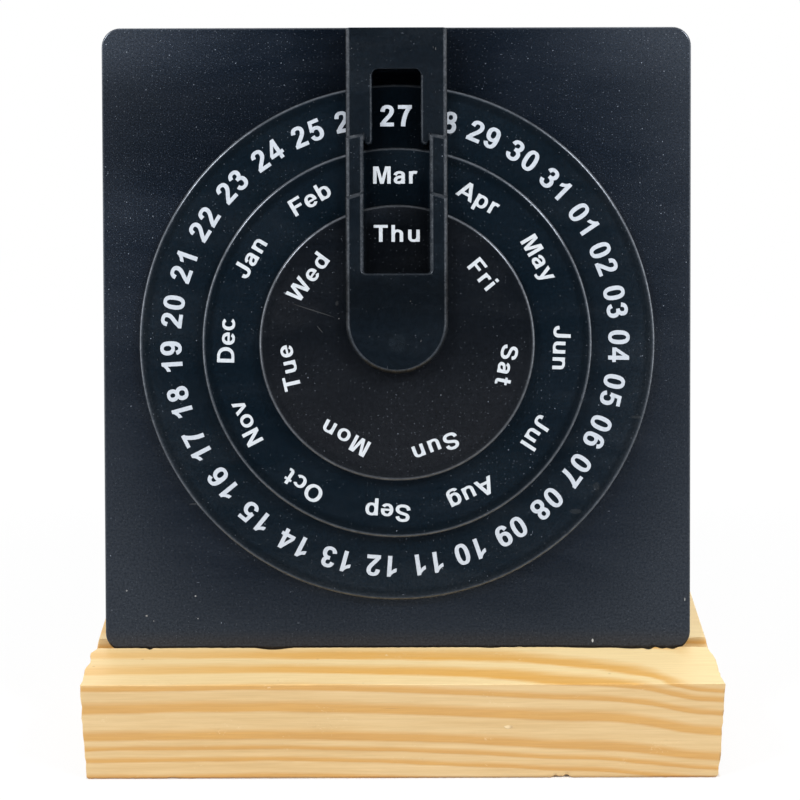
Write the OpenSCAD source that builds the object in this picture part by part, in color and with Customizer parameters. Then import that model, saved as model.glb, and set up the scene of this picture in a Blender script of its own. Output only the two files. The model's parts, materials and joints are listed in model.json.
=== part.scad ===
// Perpetual desk calendar: three stacked dials (days, months, weekdays) turn on one pivot
// in front of a leaning plate, and a stepped arm frames the date of the day.
// The plate stands in a slanted saw groove across a wooden base block.
//
// X runs to the right, Y to the back, Z up. The origin is the centre of the base's underside.

/* [Base] */
// Width of the wooden base block
base_w = 131.5; // [127:0.5:150]
// Depth of the base block, front to back
base_d = 50; // [44:1:70]
// Height of the base block
base_h = 22; // [16:1:30]
// Front face of the block to the front lip of the groove
groove_front = 16; // [12:0.5:20]
// Width of the saw groove, square to the plate
groove_w = 4; // [3.6:0.1:6]
// Backward lean of the groove and of the plate in it, in degrees
lean = 18; // [12:1:24]
// Length of plate that the groove swallows, along the plate
groove_insert = 1.3; // [1.2:0.1:6]
// Glue line between the plate and the groove
glue_line = 0.05; // [0.02:0.01:0.1]

/* [Plate] */
// Width of the back plate
plate_w = 124.4; // [118:0.1:126]
// Height of the back plate, along its slope
plate_h = 132; // [131:0.5:140]
// Thickness of the back plate
plate_t = 3; // [2.5:0.1:3.4]
// Radius of the plate's four corners
plate_corner_r = 4; // [2:0.1:8]
// Sideways place of the plate in the groove, to the right of the middle
plate_shift = -1.05; // [-1.5:0.05:1.5]

/* [Dials] */
// Pivot to the plate's top edge
pivot_from_top = 66.55; // [66:0.05:68]
// Diameter of the day dial
day_dial_d = 108.7; // [104:0.1:110]
// Diameter of the month dial
month_dial_d = 81.8; // [78:0.1:84]
// Diameter of the weekday dial
weekday_dial_d = 57.6; // [52:0.1:60]
// Thickness of each dial
dial_t = 1.5; // [1.2:0.1:2]
// Free space between the plate, the dials and the arm
dial_gap = 0.3; // [0.25:0.05:0.5]
// Chamfer round the front rim of each dial
dial_chamfer = 0.5; // [0.1:0.05:0.7]

/* [Window arm] */
// Width of the arm
arm_w = 21.2; // [20:0.1:24]
// Wall thickness of the arm
arm_wall = 2.4; // [2:0.1:3]
// Chamfer along the arm's outer edges
arm_chamfer = 0.75; // [0.3:0.05:1]
// Arm's top end below the plate's top edge
arm_top_inset = 0.9; // [0.5:0.1:1.5]
// Width of the window over the days
day_window_w = 10.2; // [8.5:0.1:11]
// Width of the window over the months and weekdays
wide_window_w = 13.7; // [12.5:0.1:14.4]
// Pivot to the window's lower edge
window_bottom = 14.4; // [13.5:0.1:16]
// Radius of the window's upper corners, over the days
day_corner_r = 1.3; // [0.5:0.1:2]
// Radius of the window's lower corners
low_corner_r = 0.6; // [0.3:0.1:1.5]
// Chamfer along the wide window's sides
window_chamfer = 0.65; // [0.3:0.05:0.8]
// Chamfer along the day window's sides, round the tongues and along the window's lower edge
fine_chamfer = 0.35; // [0.2:0.05:0.5]
// Centre of the arm's round end, above the pivot
arm_end_up = 4.2; // [2:0.1:5]
// Dial rim to the pocket wall that goes round it, in the arm
rim_clearance = 0.45; // [0.3:0.05:1]
// Wall between a dial's pocket and the riser of the step over it
riser_wall = 2.8; // [2:0.05:3]
// Wall round the day dial's pocket that shows below the window's upper edge
window_land = 2.3; // [1:0.05:2.5]

/* [Pivot and fasteners] */
// Diameter of the arm's boss that the dials turn on
boss_d = 9; // [8:0.5:10]
// Radial running clearance of the dials on the boss
running_clearance = 0.05; // [0.02:0.01:0.1]
// Diameter of the spigot below the boss, in the plate's hole
spigot_d = 5; // [4.6:0.1:5.4]
// Radial clearance of the spigot in the plate
spigot_clearance = 0.05; // [0.02:0.01:0.1]
// Length of each self-tapping screw under its head
screw_l = 6.5; // [6.5:0.5:7]

/* [Hidden] */
$fn = 96;
eps = 0.01;     // overlap of a cutting tool past the face that it opens
over = 40;      // reach of a cutting tool that only has to be long enough

// Self-tapping pan-head screw ST2.9 and plain M3 washer, standard sizes
screw_d = 2.9;
screw_head_d = 5.6;
screw_head_h = 2.1;
screw_dome_r = 3.4;
recess_l = 3.2;
recess_w = 0.8;
recess_depth = 1.2;
thread_gap = 0.03;       // screw to the hole that its own thread has cut
screw_tip_gap = 0.6;     // free depth of the hole beyond the screw's tip
washer_d = 7;
washer_bore_d = 3.2;
washer_t = 0.5;
plate_screw_hole_d = 3.3;

// The plate's own frame: its origin is on the plate's front face, level with the base's top
front_y = -base_d / 2;
face_from_lip = groove_w - plate_t - glue_line;              // square to the plate
face_y = front_y + groove_front + face_from_lip / cos(lean);
plate_up = plate_h - groove_insert;                          // plate above the base's top
pivot_up = plate_up - pivot_from_top;

// Heights above the plate's front face
dial_pitch = dial_t + dial_gap;
function dial_rear(i) = dial_gap + i * dial_pitch;           // rear face of dial i
function arm_rear(i) = dial_rear(i + 1);                     // arm's rear face over dial i
function arm_front(i) = arm_rear(i) + arm_wall;

dial_ds = [day_dial_d, month_dial_d, weekday_dial_d];

// Radii round the pivot: a pocket clears each dial, and the arm steps up outside it
function pocket_r(i) = dial_ds[i] / 2 + rim_clearance;
function step_r(i) = pocket_r(i) + riser_wall;

arm_top = pivot_from_top - arm_top_inset;
arm_end_r = arm_w / 2;
window_top = pocket_r(0) + window_land;
day_side_top = window_top - day_corner_r;                    // where the upper corners start
tongue_w = (wide_window_w - day_window_w) / 2;               // tongues beside the day window
tongue_tip = pocket_r(1);
tongue_root = step_r(1) - 1;
top_screw_up = (window_top + arm_top) / 2;
spigot_l = plate_t - 0.4;
screw_seat = -plate_t - washer_t;                            // rear face of the washers
hole_top = screw_seat + screw_l + screw_tip_gap;

// Puts children in the plate's frame: x to the right, y up the plate, z out of its front
module on_plate() {
    translate([plate_shift, face_y, base_h]) rotate([90 - lean, 0, 0]) children();
}

// The same frame with its origin on the pivot's axis
module on_pivot() {
    on_plate() translate([0, pivot_up, 0]) children();
}

// Repeats children at the pivot and at the arm's top screw
module at_screws() {
    for (up = [0, top_screw_up]) translate([0, up, 0]) children();
}

module rounded_rectangle(w, h, r) {
    square([w - 2 * r, h], center = true);
    square([w, h - 2 * r], center = true);
    for (x = [-1, 1], y = [-1, 1]) {
        translate([x * (w / 2 - r), y * (h / 2 - r)]) circle(r);
    }
}

// Wooden block with the slanted groove right across it
module wooden_base() {
    color("burlywood") difference() {
        translate([-base_w / 2, front_y, 0]) cube([base_w, base_d, base_h]);
        on_plate() translate([-over - base_w / 2, -groove_insert - glue_line, -plate_t - glue_line])
            cube([base_w + 2 * over, over, groove_w]);
    }
}

// Flat plate with the pivot hole and the hole for the arm's top screw
module back_plate() {
    color([0.07, 0.075, 0.085]) on_plate() difference() {
        translate([0, plate_h / 2 - groove_insert, -plate_t])
            linear_extrude(plate_t) rounded_rectangle(plate_w, plate_h, plate_corner_r);
        translate([0, pivot_up, -plate_t - eps]) {
            cylinder(h = plate_t + 2 * eps, d = spigot_d + 2 * spigot_clearance);
            translate([0, top_screw_up, 0])
                cylinder(h = plate_t + 2 * eps, d = plate_screw_hole_d);
        }
    }
}

// One dial: a flat disc with a chamfered front rim and a bore for the boss
module dial(i) {
    r = dial_ds[i] / 2;
    bore_r = boss_d / 2 + running_clearance;
    on_pivot() translate([0, 0, dial_rear(i)]) rotate_extrude($fn = 180)
        polygon([[bore_r, 0], [r, 0], [r, dial_t - dial_chamfer],
                 [r - dial_chamfer, dial_t], [bore_r, dial_t]]);
}

module day_dial() { color([0.05, 0.05, 0.06]) dial(0); }
module month_dial() { color([0.05, 0.05, 0.06]) dial(1); }
module weekday_dial() { color([0.06, 0.055, 0.055]) dial(2); }

// Outline of the arm: straight sides, square top and a round end below the pivot
module arm_outline() {
    translate([0, arm_end_up]) circle(arm_end_r);
    translate([-arm_w / 2, arm_end_up]) square([arm_w, arm_top - arm_end_up]);
}

// Opening of width w and corner radius r from the window's lower edge up to the given height
module window_outline(w, top, r) {
    translate([0, (window_bottom + top) / 2])
        rounded_rectangle(w, top - window_bottom, r);
}

// Three-sided prism that bevels both long edges of the step whose front is at the given height
module side_bevels(front) {
    for (side = [0, 1]) mirror([side, 0, 0])
        translate([arm_w / 2, arm_end_up, front]) rotate([-90, 0, 0])
            linear_extrude(arm_top - arm_end_up + eps)
                polygon([[-arm_chamfer, 0], [-arm_chamfer, -over], [over, -over],
                         [over, arm_chamfer], [0, arm_chamfer]]);
}

// Bevel round the arm's lower end
module end_bevel(front) {
    translate([0, arm_end_up, front]) difference() {
        rotate_extrude() polygon([[arm_end_r - arm_chamfer, 0], [over, over], [over, -over],
                                  [arm_end_r, -arm_chamfer]]);
        translate([-2 * over, 0, -2 * over]) cube([4 * over, 2 * over, 4 * over]);
    }
}

// Profile of a cutter that chamfers both edges of a slot of width w by c, below y = 0
module slot_bevel(w, c) {
    polygon([[-w / 2, -c], [w / 2, -c], [w / 2 + c + eps, eps], [-w / 2 - c - eps, eps]]);
}

// Cutter that chamfers the sides of a window of width w by c, between two heights
module side_chamfers(w, c, low, high, front) {
    translate([0, (low + high) / 2, front]) rotate([90, 0, 0])
        linear_extrude(high - low, center = true) slot_bevel(w, c);
}

// Cutter that chamfers the wide window: its sides, and less its lower edge
module wide_chamfers(front) {
    r = low_corner_r;
    w = wide_window_w;
    side_end = window_bottom + r + window_chamfer - fine_chamfer;
    side_chamfers(w, window_chamfer, side_end, over + window_bottom, front);
    translate([0, window_bottom + w / 2, front]) rotate([90, 0, 90])
        linear_extrude(w - 2 * r, center = true) slot_bevel(w, fine_chamfer);
    for (x = [-1, 1]) translate([x * (w / 2 - r), side_end, front - window_chamfer])
        cylinder(h = window_chamfer + eps, r1 = r, r2 = r + window_chamfer + eps, $fn = 48);
}

// Body of one step: as high as its front face within radius r, with a chamfered riser
module step_body(i, r) {
    intersection() {
        linear_extrude(arm_front(i)) arm_outline();
        union() {
            cylinder(h = arm_front(i) - arm_chamfer, r = r, $fn = 180);
            translate([0, 0, arm_front(i) - arm_chamfer])
                cylinder(h = arm_chamfer, r1 = r, r2 = r - arm_chamfer, $fn = 180);
        }
    }
}

// One step of the arm, with its outer bevels and, above the first, the wide window's chamfer
module arm_step(i, r) {
    difference() {
        step_body(i, r);
        side_bevels(arm_front(i));
        if (i == 2) end_bevel(arm_front(i));
        if (i > 0) wide_chamfers(arm_front(i));
    }
}

// Arm in three steps, each one dial thickness higher than the last, hollow over the dials
module window_arm() {
    color([0.09, 0.1, 0.12]) on_pivot() difference() {
        union() {
            difference() {
                union() {
                    arm_step(0, 2 * arm_top);
                    arm_step(1, step_r(1));
                    arm_step(2, step_r(2));
                }
                for (i = [0:2]) translate([0, 0, -eps])
                    cylinder(h = arm_rear(i) + eps, r = pocket_r(i), $fn = 180);
                translate([0, 0, -eps]) linear_extrude(over)
                    window_outline(day_window_w, window_top, day_corner_r);
                wide_window();
                side_chamfers(day_window_w, fine_chamfer, tongue_tip + tongue_w / 2, day_side_top,
                              arm_front(0));
            }
            cylinder(h = arm_rear(2) + eps, d = boss_d);
            translate([0, 0, -spigot_l]) cylinder(h = spigot_l + eps, d = spigot_d);
        }
        at_screws() translate([0, 0, -plate_t])
            cylinder(h = plate_t + hole_top, d = screw_d + 2 * thread_gap);
    }
}

// The wide part of the window: it ends under the first riser, where two round-tipped tongues of
// the lowest step stand on each side of the day window
module wide_window() {
    intersection() {
        linear_extrude(over) window_outline(wide_window_w, step_r(1) + riser_wall, low_corner_r);
        difference() {
            union() {
                cylinder(h = over, r = tongue_root, $fn = 180);
                translate([0, 0, arm_front(0)])
                    cylinder(h = over, r = step_r(1) + eps, $fn = 180);
            }
            tongues();
        }
    }
}

// Two tongues beside the day window, as high as the lowest step, with chamfered round tips
module tongues() {
    h = arm_front(0);
    r = tongue_w / 2;
    for (side = [-1, 1]) translate([side * (day_window_w / 2 + r), tongue_tip + r, 0]) {
        cylinder(h = h - fine_chamfer, r = r);
        translate([0, 0, h - fine_chamfer])
            cylinder(h = fine_chamfer, r1 = r, r2 = r - fine_chamfer);
        translate([-r, 0, 0]) cube([tongue_w, over, h]);
    }
}

// Pan head with a cross recess, its flat side on z = 0 and its dome towards -z
module screw_head() {
    difference() {
        intersection() {
            translate([0, 0, -screw_head_h]) cylinder(h = screw_head_h, d = screw_head_d);
            translate([0, 0, screw_dome_r - screw_head_h]) sphere(screw_dome_r);
        }
        for (turn = [0, 90]) rotate([0, 0, turn])
            translate([-recess_l / 2, -recess_w / 2, -screw_head_h - eps])
                cube([recess_l, recess_w, recess_depth + eps]);
    }
}

// Two self-tapping screws, put in from behind: one up the pivot, one into the arm's top
module arm_screws() {
    color("silver") on_pivot() at_screws() translate([0, 0, screw_seat]) {
        screw_head();
        cylinder(h = screw_l, d = screw_d);
    }
}

// A plain washer under each screw's head
module arm_washers() {
    color("silver") on_pivot() at_screws() translate([0, 0, screw_seat]) difference() {
        cylinder(h = washer_t, d = washer_d);
        translate([0, 0, -eps]) cylinder(h = washer_t + 2 * eps, d = washer_bore_d);
    }
}

wooden_base();
back_plate();
day_dial();
month_dial();
weekday_dial();
window_arm();
arm_screws();
arm_washers();
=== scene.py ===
"""Perpetual desk calendar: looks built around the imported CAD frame.

Lengths in meshes are in millimetres until they are turned into metres with MM. Lengths in materials
are in metres. The row frame has X to the right, Y to the back and Z up. The plate's own frame has x
to the right, y up the plate and z out of its front, with its origin on the pivot.
"""

import json
import math

import bmesh
import bpy
from mathutils import Matrix, Vector, noise
from mathutils.geometry import delaunay_2d_cdt

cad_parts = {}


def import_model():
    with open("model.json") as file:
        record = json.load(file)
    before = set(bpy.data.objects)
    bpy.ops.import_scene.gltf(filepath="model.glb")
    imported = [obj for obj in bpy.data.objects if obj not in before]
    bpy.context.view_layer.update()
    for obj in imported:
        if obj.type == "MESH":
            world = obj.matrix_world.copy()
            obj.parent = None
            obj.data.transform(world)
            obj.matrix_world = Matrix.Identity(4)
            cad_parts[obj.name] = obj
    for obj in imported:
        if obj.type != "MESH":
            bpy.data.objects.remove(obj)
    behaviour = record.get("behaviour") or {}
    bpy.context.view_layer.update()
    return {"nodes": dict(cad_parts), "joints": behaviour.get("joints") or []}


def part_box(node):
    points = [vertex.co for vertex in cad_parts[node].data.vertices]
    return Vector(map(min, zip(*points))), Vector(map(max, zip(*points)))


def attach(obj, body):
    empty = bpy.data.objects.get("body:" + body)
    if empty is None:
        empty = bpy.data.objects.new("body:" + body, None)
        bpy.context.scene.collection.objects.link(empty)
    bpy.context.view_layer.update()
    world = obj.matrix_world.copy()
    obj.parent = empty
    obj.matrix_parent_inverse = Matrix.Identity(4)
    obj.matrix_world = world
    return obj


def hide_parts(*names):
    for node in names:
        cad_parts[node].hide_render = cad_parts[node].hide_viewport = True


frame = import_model()
MM = 0.001

# --- Places taken from the frame ---

pivot = Vector(frame["joints"][0]["pos_m"])
out_of_plate = Vector(frame["joints"][0]["axis"]).normalized()
up_plate = out_of_plate.cross(Vector((1, 0, 0))).normalized()
TURN = Matrix(((1, 0, 0), up_plate, out_of_plate)).transposed()
PLATE = Matrix.Translation(pivot) @ TURN.to_4x4()
TO_PLATE = PLATE.inverted()
LEAN = math.atan2(up_plate.y, up_plate.z)


def measures(node):
    """A CAD node's lowest and highest place along the plate's normal, and its radii, in mm."""
    points = [(TO_PLATE @ v.co) / MM for v in frame["nodes"][node].data.vertices]
    levels = [p.z for p in points]
    radii = [math.hypot(p.x, p.y) for p in points]
    return min(levels), max(levels), max(radii), min(radii)


# --- Small kit for node-based materials ---


def operator(name, swapped=False):
    """A method that adds the Math node of that name."""

    def method(self, other=None):
        return self.nodes.math(name, *((other, self) if swapped else (self, other)))

    return method


class Field:
    """A node's output. Arithmetic and comparisons with it add Math nodes."""

    def __init__(self, nodes, socket):
        self.nodes, self.socket = nodes, socket

    __add__ = __radd__ = operator("ADD")
    __mul__ = __rmul__ = operator("MULTIPLY")
    __sub__ = operator("SUBTRACT")
    __rsub__ = operator("SUBTRACT", swapped=True)
    __truediv__ = operator("DIVIDE")
    __pow__ = operator("POWER")
    __gt__ = operator("GREATER_THAN")
    __lt__ = operator("LESS_THAN")
    __abs__ = operator("ABSOLUTE")


class Nodes:
    """A node tree, with helpers that add nodes and return their outputs as fields."""

    def __init__(self, owner, output):
        owner.use_nodes = True
        self.tree = owner.node_tree
        self.tree.nodes.clear()
        self.out = self.node(output).inputs[0]

    def put(self, socket, value):
        if isinstance(value, Field):
            self.tree.links.new(value.socket, socket)
        elif value is not None:
            socket.default_value = value

    def node(self, kind, *inputs, **named):
        """A new node. Names in lower case are its properties, the others are inputs."""
        made = self.tree.nodes.new("ShaderNode" + kind)
        for key, value in named.items():
            if key.islower():
                setattr(made, key, value)
            else:
                self.put(made.inputs[key], value)
        for socket, value in zip(made.inputs, inputs):
            self.put(socket, value)
        return made

    def field(self, kind, *inputs, output=0, **named):
        return Field(self, self.node(kind, *inputs, **named).outputs[output])

    def math(self, op, a, b=None):
        return self.field("Math", a, b, operation=op)

    def most(self, first, *others):
        for other in others:
            first = self.math("MAXIMUM", first, other)
        return first

    def vector(self, op, a, b=None, output=0):
        return self.field("VectorMath", a, b, operation=op, output=output)

    def length(self, vector):
        return self.vector("LENGTH", vector, output="Value")

    def split(self, vector):
        return [Field(self, part) for part in self.node("SeparateXYZ", vector).outputs]

    def join(self, x, y, z):
        return self.field("CombineXYZ", x, y, z)

    def coords(self):
        return self.field("TexCoord", output="Object")

    def geometry(self, output):
        return self.field("NewGeometry", output=output)

    def in_plate_frame(self, place=None):
        """A place in the row frame, or object coordinates of a CAD node, in the plate's frame."""
        moved = self.vector("ADD", place or self.coords(), tuple(-pivot))
        return self.field("VectorRotate", moved, rotation_type="X_AXIS", Angle=LEAN - math.pi / 2)

    def stretch(self, vector, scale, place=(0, 0, 0)):
        return self.field("Mapping", vector, Scale=scale, Location=place)

    def noise(self, vector, size, detail=2.0, rough=0.5, distort=0.0):
        """Noise between 0 and 1 whose features are about size metres across."""
        return self.field(
            "TexNoise", vector, Scale=1 / size, Detail=detail, Roughness=rough, Distortion=distort
        )

    def cells(self, vector, size, dims="3D"):
        """Random cells: the distance to the middle of each, and its three random numbers."""
        made = self.node("TexVoronoi", vector, voronoi_dimensions=dims, Scale=1 / size)
        return Field(self, made.outputs["Distance"]), self.split(Field(self, made.outputs["Color"]))

    def span(self, value, low, high, to_low=0.0, to_high=1.0, smooth=True):
        kind = "SMOOTHSTEP" if smooth else "LINEAR"
        return self.field("MapRange", value, low, high, to_low, to_high, interpolation_type=kind)

    def ramp(self, value, stops):
        made = self.node("ValToRGB", value)
        elements = made.color_ramp.elements
        while len(elements) < len(stops):
            elements.new(0.5)
        for element, (place, level) in zip(elements, stops):
            element.position = place
            element.color = (level, level, level, 1)
        return Field(self, made.outputs[0])

    def mix(self, factor, a, b, blend="MIX"):
        made = self.node("Mix", factor, data_type="RGBA", blend_type=blend)
        for socket, colour in ((made.inputs[6], a), (made.inputs[7], b)):
            self.put(socket, (*colour, 1) if isinstance(colour, tuple) else colour)
        return Field(self, made.outputs[2])

    def tint(self, colour, by, factor=1.0):
        """A colour multiplied by another, or by a grey field."""
        return self.mix(factor, colour, by, "MULTIPLY")

    def bump(self, height, depth):
        """Bump whose height 1 stands for depth metres."""
        return self.field("Bump", Strength=1.0, Distance=depth, Height=height)


class Shader(Nodes):
    """A material with one Principled BSDF."""

    def __init__(self, name):
        self.material = bpy.data.materials.new(name)
        super().__init__(self.material, "OutputMaterial")
        self.bsdf = self.node("BsdfPrincipled")
        self.surface = Field(self, self.bsdf.outputs[0])
        self.put(self.out, self.surface)

    def set(self, **values):
        for key, value in values.items():
            self.put(self.bsdf.inputs[key.replace("_", " ")], value)


# --- Materials ---


def specks(s, vector, cell, radius, share, place=(0, 0, 0), patchy=None):
    """Sparse round specks: 1 in a speck and 0 elsewhere. share is the part of cells with one."""
    distance, (pick, _, _) = s.cells(s.stretch(vector, (1, 1, 1), place), cell, "2D")
    if patchy is not None:
        pick = pick + (patchy - 0.5) * 0.7
    return s.span(distance, radius / cell, 0.45 * radius / cell) * (pick > 1 - share)


WINDOW_HALF = 0.0066       # half the width of the arm's window
WINDOW_FOOT = 0.0143       # how far its lower edge lies above the pivot


def in_window(s, front):
    """1 on whatever faces the front inside the arm's window, with its x and its radius there: the mask of
    the painted shade there.
    """
    x, y, _ = s.split(s.in_plate_frame(s.geometry("Position")))
    inside = s.span(abs(x) - WINDOW_HALF, 0.0004, -0.0004) * s.span(y - WINDOW_FOOT, -0.0005, 0.0005)
    return inside * front, x, s.length(s.join(x, y, 0.0))


def painted_window_shade(s, where, front, slant, window):
    """Painted shade inside the window: deepest at its top, less just inside the dials' rims."""
    inside, x, away = window
    month = s.span(away, 0.0325, 0.0395) * s.span(away, 0.0407, 0.0403)
    weekday = s.span(away, 0.0240, 0.0265) * s.span(away, 0.0285, 0.0281)
    light = month * s.span(x, -0.006, 0.003, 0.0, 0.40) + weekday * s.span(x, -0.006, 0.006, 0.75, 0.0)
    return 1.0 - inside * (s.span(away, 0.036, 0.045, 0.55, 0.72) - light)


def on_plate(s, where, front, slant, window):
    """The plate mirrors most in its top corners, and less left of the dials and by the arm: partly uneven
    polish and partly painted reflection and shade, which also tint its colour.
    """
    x, y, _ = s.split(where)
    beside = abs(x)
    corners = s.span(y, 0.052, 0.064, 0, 0.28) * s.span(beside, 0.026, 0.050)
    left = s.span(y, 0.026, 0.040, 0, -0.30) * s.span(y, 0.062, 0.050) * s.span(x, 0.050, -0.045)
    middle = s.span(beside, 0.026, 0.014, 0, -0.35) * s.span(y, 0.02, 0.05)
    polish_and_painted_light = (corners + left + middle) * front + 1.0
    return painted_window_shade(s, where, front, slant, window) * polish_and_painted_light


ARM_HALF = 0.0106          # half the arm's width
ARM_END = 0.0042           # how far the middle of its round end lies above the pivot


def on_arm(s, where, front, slant, window):
    """Painted highlight and shade on the arm's slanted rim, dark outside and bright inside; its face darker
    and mirroring less below the window. Both also tint its colour.
    """
    x, y, _ = s.split(where)
    away = s.length(s.join(x, s.math("MINIMUM", y - ARM_END, 0.0), 0.0))
    inward = s.span(y, 0.037, 0.009, ARM_HALF, ARM_HALF - 0.0002) - away
    rim = s.span(inward, 0.00005, 0.00035, -0.65, 0.10)
    lit = s.span(y, 0.005, -0.003, 0.0, 0.55) * s.span(inward, 0.00010, 0.00035)
    dimmer_below = s.span(y, 0.017, 0.012, 0, -0.42) * s.span(y, 0.002, 0.009)
    return ((rim + lit) * slant + 1.0) * (dimmer_below + 1.0)


def sink_mark(s, where):
    """Pale round mark where the arm's boss has shrunk behind its front."""
    return s.span(s.length(s.stretch(where, (1, 1, 0))), 0.0026, 0.0012, 0.0, 0.9)


def hazier_below(s, where):
    """Paler haze, stronger on the lower side of the dial."""
    return s.span(s.split(where)[1], 0.014, -0.022)


def textured(s, shade, drift, where):
    """Fine sparkle in the plate's skin: its grain, with painted glints that are lively on top and beside
    the dials, and its specks' drift.
    """
    across, up, _ = s.split(where)
    lively = s.span(up, -0.024, 0.034)
    drift = drift + lively * 0.42 - 0.27 + s.span(across, -0.03, 0.045, 0.04, -0.10)
    # less painted glint by the arm, where the plate shows the arm's dark reflection
    lively = lively * s.span(abs(across), 0.013, 0.050, 0.25, 1.0) * s.span(across, -0.05, 0.05, 1, 0.75)
    pores = s.noise(where, 0.00028, 2, 0.8)
    shade = s.mix(s.span(pores, 0.54, 0.72, 0, 0.34) * lively, shade, (0.045, 0.052, 0.064))
    grain = s.span(pores, 0.36, 0.64, -0.9, 2.0, smooth=False) * (lively * 0.42 + 0.02)
    return s.tint(shade, grain + 1.0), drift


FLAT = 0.6                 # how much flat faces mirror


def black_plastic(
    name, base, haze, rough, grain, grain_size, dust, edge_wear_and_highlight, polish, shade_and_mirror=painted_window_shade, cad_node=False,
    extra=None, foot=None, rims=(), marks=(),
):
    """Moulded black plastic: base and haze are its two shades, grain is the texture's depth.

    edge_wear_and_highlight is how pale the slanted edges are, partly rubbed and partly a painted
    highlight, and polish how much they mirror. shade_and_mirror gives how well each place mirrors;
    the same factor paints light and shade into the colour and the dust. extra(s, where) may add a
    paler mark. foot is the height under which a painted reflection of the wood tints it, and comes
    with the plate's sparkle. rims are the radii of dials, in mm, whose faces get painted shade just
    inside the rim, and how much. marks are marks of wear.
    """
    s = Shader(name)
    where = s.in_plate_frame() if cad_node else s.coords()
    clouds = s.noise(where, 0.028, 4, 0.6, 0.4)
    smear = s.noise(s.stretch(where, (0.35, 1.4, 1)), 0.012, 5, 0.62, 0.8)
    fine = s.noise(where, grain_size, 3, 0.6)
    patchy = s.noise(where, 0.045, 2, 0.5)
    facing = s.vector("DOT_PRODUCT", s.geometry("Normal"), tuple(out_of_plate), "Value")
    front = s.span(facing, -0.6, -0.4)
    slant = s.span(facing, 0.985, 0.86) * s.span(facing, 0.05, 0.3)
    window = in_window(s, front)
    # painted light and shade: it tints the colour and the dust, and sets how much each place mirrors
    painted_light_and_mirror = shade_and_mirror(s, where, front, slant, window)
    slant = slant * s.span(s.noise(where, 0.0016, 3, 0.65), 0.3, 0.75, 0.45, 1.15)
    veil = s.span(clouds, 0.3, 0.75) * s.span(smear, 0.3, 0.8, 0.35, 1)
    if extra is not None:
        veil = s.most(veil, extra(s, where))
    shade = s.mix(veil, base, haze)
    shade = s.tint(shade, (1.7, 1.7, 1.7), s.span(fine, 0.35, 0.75, 0, 0.65))
    mirror = (slant * (polish - FLAT) + FLAT) * painted_light_and_mirror
    if rims:
        # painted shade in a band just inside each dial's rim, the rest of the face a little lighter, none
        # inside the window
        away, painted_rim_shade = s.length(s.stretch(where, (1, 1, 0))), 0.0
        for rim, dark in rims:
            band = s.span(away, (rim - 2.7) * MM, (rim - 1.7) * MM)
            band = band * s.span(away, (rim - 0.65) * MM, (rim - 0.8) * MM)
            painted_rim_shade = s.most(painted_rim_shade, band * s.span(smear, 0.2, 0.8, 0.7 * dark, 1.2 * dark))
        painted_rim_shade = painted_rim_shade * (1.0 - window[0])
        shade = s.mix(painted_rim_shade, s.tint(shade, (1.13, 1.13, 1.13)), (0.0006, 0.0018, 0.0030))
        mirror = mirror * (painted_rim_shade * -0.40 + 1.05)
    # pale slanted edges: partly rubbed, partly a painted highlight
    shade = s.mix(slant * edge_wear_and_highlight, shade, (0.10, 0.108, 0.118))
    drift = patchy * 0.5 + smear * 0.5
    if foot is not None:
        shade, drift = textured(s, shade, drift, where)
        # a painted reflection of the wood at the plate's foot
        painted_wood_reflection = s.span(s.split(where)[1], foot + 0.0040, foot, 0.0, 0.85)
        shade = s.mix(painted_wood_reflection, shade, (0.0135, 0.0100, 0.0072))
    tiny = specks(s, where, 0.00085, 0.000085, 0.30 * dust, (0.07, 0.21, 0.13), drift)
    small = specks(s, where, 0.0019, 0.00011, 0.17 * dust, (0, 0, 0), drift)
    large = specks(s, where, 0.0047, 0.00013, 0.18 * dust, (0.31, 0.17, 0.05), drift)
    fibre = specks(s, s.stretch(where, (0.3, 1.2, 1)), 0.0065, 0.00010, 0.1 * dust, (0.11, 0.4, 0.2))
    dusty = s.most(small * 0.42, large * 0.80, fibre * 0.35, tiny * 0.28) * painted_light_and_mirror
    # painted light and shade in the colour
    shade = s.tint(shade, painted_light_and_mirror)
    for x, y, turn, long, wide, strength in marks:
        mark = s.vector("SUBTRACT", where, (x * MM, y * MM, 0))
        mark = s.field("VectorRotate", mark, rotation_type="Z_AXIS", Angle=-math.radians(turn))
        mark = s.length(s.vector("MULTIPLY", mark, (1 / (long * MM), 1 / (wide * MM), 0)))
        shade = s.mix(s.span(mark, 1.1, 0.6) * strength, shade, (0.62, 0.62, 0.60))
    mottle = s.span(s.noise(where, 0.00048, 2, 0.75), 0.34, 0.66, 0.66, 1.34, smooth=False)
    s.set(
        Base_Color=s.mix(dusty, shade, (0.30, 0.34, 0.40)),
        Roughness=s.span(smear, 0.2, 0.85, -0.03, 0.05) + rough,
        Specular_IOR_Level=mirror * mottle,
        Specular_Tint=(0.80, 0.88, 1.0, 1),
        Normal=s.bump(fine + clouds * 0.4, grain),
    )
    return s.material


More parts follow.
